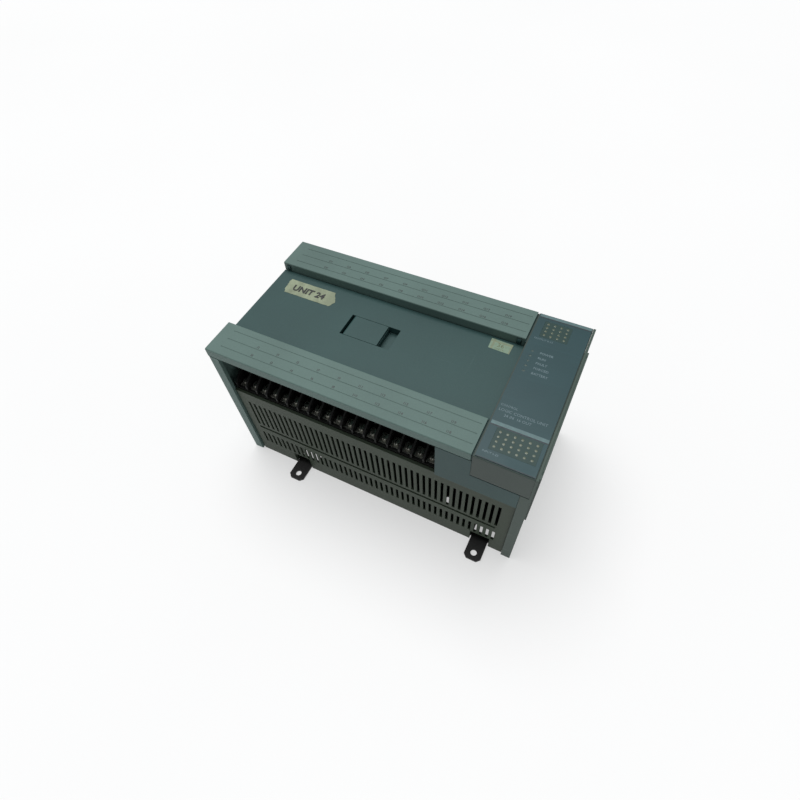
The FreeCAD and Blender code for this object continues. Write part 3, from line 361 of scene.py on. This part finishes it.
def paper(name, colour, grid):
    """Small printed sticker: pale stock, a faint printed grid and rubbed corners."""
    shader = Shader(name)
    fibre = shader.noise(1500.0, 3.0)
    rows = shader.maths("MAXIMUM", shader.ramp(shader.lines(32.0, "Y"), 0.93, 0.97),
                        shader.ramp(shader.lines(22.0, "X"), 0.95, 0.98))
    base = shader.blend(shader.ramp(fibre, 0.3, 0.7), scaled(colour, 0.9), scaled(colour, 1.1))
    base = shader.blend(shader.maths("MULTIPLY", rows, 0.4), base, grid)
    rubbed = shader.ramp(shader.noise(240.0, 3.0), 0.5, 0.72, 0.0, 0.35)
    base = shader.blend(rubbed, base, scaled(colour, 0.6))
    return shader.surface(Base_Color=base, Roughness=0.6, Normal=shader.bump(fibre, 0.02 * MM, 0.4))


# ---------------------------------------------------------------- the record's slots

COVER = display(82, 104, 99)
PANEL = display(37, 66, 65)
FILM = display(35, 63, 67)

finishes = {
    "cover_plastic": moulded("cover_plastic", COVER, grain=0.5, rough=0.56, scuffs=0.35, gap_shade_and_dirt=0.55,
                             gloss=0.35),
    "panel_plastic": moulded("panel_plastic", PANEL, grain=0.35, rough=0.52, scuffs=0.16, gloss=0.35),
    "vent_plastic": moulded("vent_plastic", display(48, 59, 46), grain=0.4, rough=0.55, scuffs=0.12,
                            gap_shade_and_dirt=0.4, gloss=0.3),
    "side_plastic": moulded("side_plastic", display(53, 69, 62), grain=0.4, rough=0.52, wear=0.8, gloss=0.4,
                            soft_edge=0.5),
    "bezel_plastic": moulded("bezel_plastic", display(51, 64, 59), grain=0.35, rough=0.5, wear=0.25,
                             scuffs=0.12, gloss=0.35),
    "terminal_plastic": moulded("terminal_plastic", display(10, 11, 10), grain=0.3, rough=0.52, wear=0.15,
                                scuffs=0.1, gloss=0.3),
    "socket_plastic": moulded("socket_plastic", display(34, 35, 36), grain=0.3, rough=0.4, wear=0.25),
    "chip_plastic": moulded("chip_plastic", display(28, 29, 31), grain=0.25, rough=0.48, wear=0.2),
    "relay_plastic": moulded("relay_plastic", display(52, 68, 104), grain=0.2, rough=0.28, wear=0.15),
    "spacer_nylon": moulded("spacer_nylon", display(214, 212, 200), grain=0.3, rough=0.45, wear=0.1,
                            gap_shade_and_dirt=0.3),
    "label_film": label_film("label_film", FILM),
    "window_film": window_film("window_film", display(44, 68, 65)),
    "led_lens": lens("led_lens", display(60, 78, 75)),
    "black_steel": powder_coat("black_steel", display(18, 18, 18)),
    "plated_steel": plated("plated_steel", display(160, 160, 152)),
    "contact_brass": plated("contact_brass", display(196, 178, 120), rough=0.28),
    "black_aluminium": plated("black_aluminium", display(52, 53, 56), rough=0.4, direction=(4.0, 2.0, 40.0)),
    "board_laminate": laminate("board_laminate", display(36, 92, 58)),
    "core_steel": banded("core_steel", display(92, 88, 84), 0.5 * MM, "X", rough=0.42, metal=0.6),
    "winding_copper": banded("winding_copper", display(156, 92, 52), 0.6 * MM, "Z", rough=0.3, metal=0.7),
    "capacitor_sleeve": sleeve("capacitor_sleeve", display(38, 46, 72), display(168, 172, 178)),
    "battery_wrap": sleeve("battery_wrap", display(190, 178, 84), display(60, 96, 72), "X"),
    "fuse_glass": clear_glass("fuse_glass"),
    "masking_tape": crepe("masking_tape", display(144, 154, 128)),
    "label_paper": paper("label_paper", display(114, 136, 116), display(120, 108, 72)),
}

lens_finish = lens("lens_dots", display(84, 93, 76))

inks = {
    "cover": ink("ink_cover", display(34, 48, 45), wear=0.5),
    "film": ink("ink_film", display(88, 108, 114), wear=0.4),
    # this dark ink also carries the painted shadow along the indicator label's near edge
    "dark_line_and_edge_shadow": ink("ink_dark_line_and_edge_shadow", display(20, 34, 40), wear=0.15),
    "pale_line": ink("ink_pale_line", display(74, 100, 102), wear=0.3),
    "marker": ink("ink_marker", display(22, 25, 24), wear=0.5),
    "sticker": ink("ink_sticker", display(82, 88, 58), wear=0.3),
}


def paint_nodes():
    """Every node takes the finish of its material slot in the record."""
    for part in frame["record"]["subparts"]:
        mesh = nodes[part["node"]].data
        mesh.materials.clear()
        mesh.materials.append(finishes[part["material_slot"]])


# ---------------------------------------------------------------- pieces that are built here

def to_object(name, mesh_data, material, body):
    mesh = bpy.data.meshes.new(name)
    mesh_data.to_mesh(mesh)
    mesh_data.free()
    mesh.materials.append(material)
    made = bpy.data.objects.new(name, mesh)
    bpy.context.scene.collection.objects.link(made)
    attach(made, body)
    return made


INK = 0.03 * MM
SUNK = 0.01 * MM
CAPITAL = 0.72  # height of a capital letter, in font sizes


def letters(target, words, place, height, align="LEFT", bold=0.0):
    """Adds printed words to a mesh: place is the baseline's start (or middle), height a capital's."""
    curve = bpy.data.curves.new("words", "FONT")
    curve.body = words
    curve.size = height / CAPITAL
    curve.align_x = align
    curve.resolution_u = 2
    curve.extrude = (INK + SUNK) / 2
    curve.offset = bold * curve.size
    holder = bpy.data.objects.new("words", curve)
    bpy.context.scene.collection.objects.link(holder)
    bpy.context.view_layer.update()
    evaluated = holder.evaluated_get(bpy.context.evaluated_depsgraph_get())
    mesh = bpy.data.meshes.new_from_object(evaluated)
    mesh.transform(Matrix.Translation(Vector(place) + Vector((0, 0, (INK - SUNK) / 2))))
    target.from_mesh(mesh)
    bpy.data.objects.remove(holder)
    bpy.data.curves.remove(curve)
    bpy.data.meshes.remove(mesh)


def slab(target, low, high):
    """Adds a closed box between two corners."""
    size = Vector(high) - Vector(low)
    middle = (Vector(high) + Vector(low)) / 2
    matrix = Matrix.Translation(middle) @ Matrix.Diagonal((*size, 1.0))
    bmesh.ops.create_cube(target, size=1.0, matrix=matrix)


def stripe(target, x_range, y_range, level):
    slab(target, (x_range[0], y_range[0], level - SUNK), (x_range[1], y_range[1], level + INK))


# terminal covers: a small number over each printed line

def cover_marks(node, body, baselines, prefix):
    low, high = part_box(node)
    marks = bmesh.new()
    pitch = 17.9 * MM
    first = low.x + 37.8 * MM
    for step, baseline in enumerate(baselines):
        for number in range(10):
            place = (first + number * pitch, low.y + baseline, high.z)
            letters(marks, prefix + str(number * 2 + step), place, 2.1 * MM, "CENTER", bold=0.03)
    return to_object(node.replace("cover", "marks"), marks, inks["cover"], body)


# indicator label: strips, function words and input or output numbers

def indicator_print():
    low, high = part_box("indicator_label")
    face = high.z
    pale = bmesh.new()
    dark_lines_and_edge_shadow = bmesh.new()
    across = (low.x + 0.5 * MM, high.x - 0.1 * MM)
    strips = ((high.y - 2.9 * MM, 2.6 * MM), (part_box("input_led_window")[1].y + 1.4 * MM, 2.8 * MM))
    for start, width in strips:
        stripe(pale, across, (start, start + width), face)
        stripe(dark_lines_and_edge_shadow, across, (start - 1.0 * MM, start - 0.1 * MM), face)
    # painted shadow: this dark line along the label's near edge stands in for the shade at that edge
    stripe(dark_lines_and_edge_shadow, across, (low.y + 0.1 * MM, low.y + 0.7 * MM), face)
    to_object("label_pale_strips", pale, inks["pale_line"], "case")
    to_object("label_dark_lines_and_edge_shadow", dark_lines_and_edge_shadow, inks["dark_line_and_edge_shadow"], "case")

    words = bmesh.new()
    output_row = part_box("output_led_window")[0].y - 3.4 * MM
    input_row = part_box("input_led_window")[0].y - 3.4 * MM
    letters(words, "OUTPUT 0-15", (low.x + 3.0 * MM, output_row, face), 1.7 * MM)
    letters(words, "INPUT 0-23", (low.x + 3.0 * MM, input_row, face), 1.6 * MM)
    # one word beside each status guide
    first_word = 28.9 * MM
    status_pitch = 5.05 * MM
    for row, word in enumerate(("POWER", "RUN", "FAULT", "FORCED", "BATTERY")):
        place = (low.x + 11.6 * MM, first_word - row * status_pitch, face)
        letters(words, word, place, 2.1 * MM, bold=0.01)
    title = strips[1][0] + strips[1][1]
    # words, inset from the label's left edge, rise over the strip, height of a capital, in millimetres
    titles = (("CONTROL", 1.5, 13.6, 1.8),
              ("LOGIC CONTROL UNIT", 1.5, 9.2, 2.3),
              ("24 IN  16 OUT", 6.5, 5.4, 2.2))
    for word, inset, rise, height in titles:
        letters(words, word, (low.x + inset * MM, title + rise * MM, face), height * MM, bold=0.0)
    to_object("label_words", words, inks["film"], "case")


# rows of small lens dots over the indicators, a little proud of the window film

DOT_SIDES = 16


def lens_dots(window, columns, rows, pitch, radius):
    low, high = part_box(window)
    dots = bmesh.new()
    step_x, step_y = pitch
    middle = (low + high) / 2
    first_x = middle.x - step_x * (columns - 1) / 2
    first_y = middle.y - step_y * (rows - 1) / 2
    dome = 0.12 * MM
    for column in range(columns):
        for row in range(rows):
            centre = Vector((first_x + column * step_x, first_y + row * step_y, high.z))
            rings = ((radius, -SUNK), (radius, dome * 0.35), (radius * 0.75, dome * 0.8),
                     (radius * 0.4, dome))
            turns = [math.tau * step / DOT_SIDES for step in range(DOT_SIDES)]
            points = [[dots.verts.new(centre + Vector((math.cos(turn) * reach, math.sin(turn) * reach, rise)))
                       for turn in turns] for reach, rise in rings]
            for below, above in zip(points, points[1:]):
                for step in range(DOT_SIDES):
                    after = (step + 1) % DOT_SIDES
                    dots.faces.new((below[step], below[after], above[after], above[step]))
            dots.faces.new(points[-1])
            dots.faces.new(list(reversed(points[0])))
    return to_object(window.replace("window", "dots"), dots, lens_finish, "case")


# masking tape with torn ends, lifted a little along its creases

def torn_tape():
    low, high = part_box("tape_tag")
    thickness = 0.12 * MM
    columns, rows = 56, 14
    length, width = high.x - low.x, high.y - low.y
    tape = bmesh.new()

    def point(column, row, top):
        u, v = column / columns, row / rows
        # the left end is torn on a slant; the right end comes to a ragged point
        ragged = noise.noise(Vector((v * 7.0, 3.3, 0.0))) * 1.6 * MM
        start = low.x + (2.5 - 4.0 * v) * MM * (1 - v) + 1.5 * MM + ragged
        end = high.x - abs(v - 0.35) * 9.0 * MM + ragged * 0.8
        x = start + (end - start) * u
        edge = noise.noise(Vector((u * 9.0, 8.1, v))) * 0.35 * MM
        y = low.y + v * width + edge
        crease = max(0.0, noise.noise(Vector((u * 6.0, v * 1.6, 5.0)))) * 0.35 * MM
        crimp = abs(math.sin(u * 61.0 + v * 3.0)) * 0.03 * MM
        z = low.z + crease + crimp + (thickness if top else 0.0)
        return (x, min(max(y, low.y), high.y), z)

    layers = [[[tape.verts.new(point(column, row, top)) for row in range(rows + 1)]
               for column in range(columns + 1)] for top in (False, True)]
    for column in range(columns):
        for row in range(rows):
            for layer in layers:
                tape.faces.new((layer[column][row], layer[column + 1][row], layer[column + 1][row + 1],
                                layer[column][row + 1]))
    bottom, top = layers
    for column in range(columns):
        for row in (0, rows):
            tape.faces.new((bottom[column][row], bottom[column + 1][row], top[column + 1][row],
                            top[column][row]))
    for row in range(rows):
        for column in (0, columns):
            tape.faces.new((bottom[column][row], bottom[column][row + 1], top[column][row + 1],
                            top[column][row]))
    bmesh.ops.recalc_face_normals(tape, faces=tape.faces)
    made = to_object("torn_tape", tape, finishes["masking_tape"], "case")
    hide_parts("tape_tag")

    marker = bmesh.new()
    middle = (low.x + length * 0.47, low.y + width * 0.30, low.z + 0.42 * MM)
    letters(marker, "UNIT 24", middle, 6.2 * MM, "CENTER", bold=0.03)
    for vertex in marker.verts:
        if vertex.co.z < middle[2]:
            vertex.co.z = low.z + 0.1 * MM
    to_object("tape_words", marker, inks["marker"], "case")


def sticker_print():
    low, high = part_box("inspection_sticker")
    words = bmesh.new()
    letters(words, "36", ((low.x + high.x) / 2, low.y + 3.6 * MM, high.z), 4.2 * MM, "CENTER")
    letters(words, "CHECK", ((low.x + high.x) / 2, low.y + 1.0 * MM, high.z), 1.6 * MM, "CENTER")
    to_object("sticker_words", words, inks["sticker"], "case")


# ---------------------------------------------------------------- stage, light and camera

def pale_floor():
    shader = Shader("pale_floor")
    cloud = shader.noise(2.0, 2.0)
    base = shader.blend(cloud, (0.44, 0.44, 0.44, 1.0), (0.47, 0.47, 0.47, 1.0))
    material = shader.surface(Base_Color=base, Roughness=0.8, Specular_IOR_Level=0.1,
                              Emission_Color=(1.0, 1.0, 1.0, 1.0), Emission_Strength=0.44)
    ground = bmesh.new()
    bmesh.ops.create_grid(ground, x_segments=1, y_segments=1, size=6.0)
    mesh = bpy.data.meshes.new("floor")
    ground.to_mesh(mesh)
    ground.free()
    mesh.materials.append(material)
    made = bpy.data.objects.new("floor", mesh)
    made.location.z = floor_level - 0.05 * MM
    bpy.context.scene.collection.objects.link(made)


def studio():
    pale_floor()
    world = bpy.data.worlds.new("studio")
    world.use_nodes = True
    backdrop = world.node_tree.nodes["Background"]
    backdrop.inputs["Color"].default_value = (0.97, 0.99, 1.0, 1.0)
    backdrop.inputs["Strength"].default_value = 0.36
    bpy.context.scene.world = world
    lamp = bpy.data.lights.new("overhead", "SUN")
    lamp.energy = 2.72
    lamp.angle = math.radians(50.0)
    made = bpy.data.objects.new("overhead", lamp)
    made.rotation_euler = (math.radians(-10.0), math.radians(-12.0), 0.0)
    bpy.context.scene.collection.objects.link(made)
    bpy.context.scene.view_settings.view_transform = "Standard"


def camera():
    lens_data = bpy.data.cameras.new("camera")
    lens_data.lens = 23.205
    lens_data.sensor_width = 36.0
    lens_data.clip_start = 0.01
    made = bpy.data.objects.new("camera", lens_data)
    made.location = (0.12999, -0.23035, 0.43778)
    made.rotation_euler = tuple(math.radians(angle) for angle in (35.282, 2.605, 26.470))
    bpy.context.scene.collection.objects.link(made)
    bpy.context.scene.camera = made


# ---------------------------------------------------------------- assembly

paint_nodes()
cover_marks("lower_terminal_cover", "input_cover", (8.7 * MM, 17.2 * MM), "I")
cover_marks("upper_terminal_cover", "output_cover", (7.7 * MM, 16.2 * MM), "O")
indicator_print()
dot_radius = 0.95 * MM
lens_dots("output_led_window", 4, 4, (5.0 * MM, 3.9 * MM), dot_radius)
lens_dots("input_led_window", 6, 4, (5.1 * MM, 4.0 * MM), dot_radius)
torn_tape()
sticker_print()
studio()
camera()
